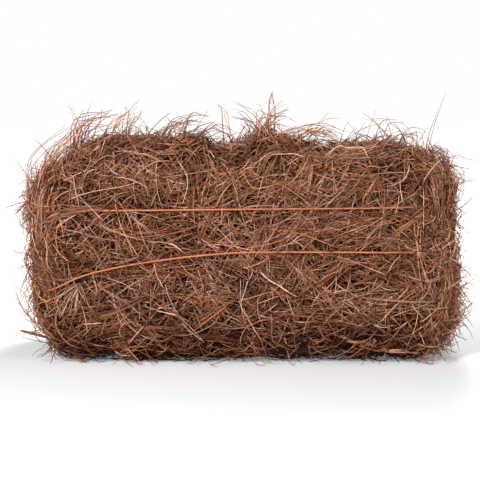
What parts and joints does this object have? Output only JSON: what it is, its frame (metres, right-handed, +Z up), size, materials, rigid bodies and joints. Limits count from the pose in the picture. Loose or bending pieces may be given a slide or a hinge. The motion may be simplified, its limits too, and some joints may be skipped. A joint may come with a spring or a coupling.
{
  "type": "square pine straw bale",
  "caption": "Small square bale of dry pine needles pressed into a block, tied lengthwise with twine, with loose needles sticking out on every side.",
  "frame": {"origin": "on the floor, under the middle of the box round all the pieces", "axes": "+Z up, X along the bale's length, and the pictured long side faces -Y"},
  "size_m": [0.776, 0.416, 0.4465],
  "materials": {
    "straw": "dry red-brown pine needles, faintly waxy",
    "poly_twine": "orange split-film baling twine, three plies",
    "bark": "dark dry bark and leaf litter"
  },
  "bodies": {
    "root": {"packed_straw": "straw", "twine_upper": "poly_twine", "twine_lower": "poly_twine", "stray_needles_01": "straw", "stray_needles_02": "straw", "stray_needles_03": "straw", "stray_needles_04": "straw", "stray_needles_05": "straw", "stray_needles_06": "straw", "stray_needles_07": "straw", "stray_needles_08": "straw", "stray_needles_09": "straw", "stray_needles_10": "straw", "stray_needles_11": "straw", "stray_needles_12": "straw", "stray_needles_13": "straw", "stray_needles_14": "straw", "stray_needles_15": "straw", "stray_needles_16": "straw", "stray_needles_17": "straw", "stray_needles_18": "straw", "stray_needles_19": "straw", "stray_needles_20": "straw", "stray_needles_21": "straw", "stray_needles_22": "straw", "stray_needles_23": "straw", "stray_needles_24": "straw", "stray_needles_25": "straw", "stray_needles_26": "straw", "stray_needles_27": "straw", "stray_needles_28": "straw", "stray_needles_29": "straw", "stray_needles_30": "straw", "stray_needles_31": "straw", "stray_needles_32": "straw", "stray_needles_33": "straw", "stray_needles_34": "straw", "stray_needles_35": "straw", "stray_needles_36": "straw", "bark_flake": "bark", "dry_leaf_bit": "bark", "cone_scale": "bark", "twig_stub": "bark"}
  },
  "joints": []
}
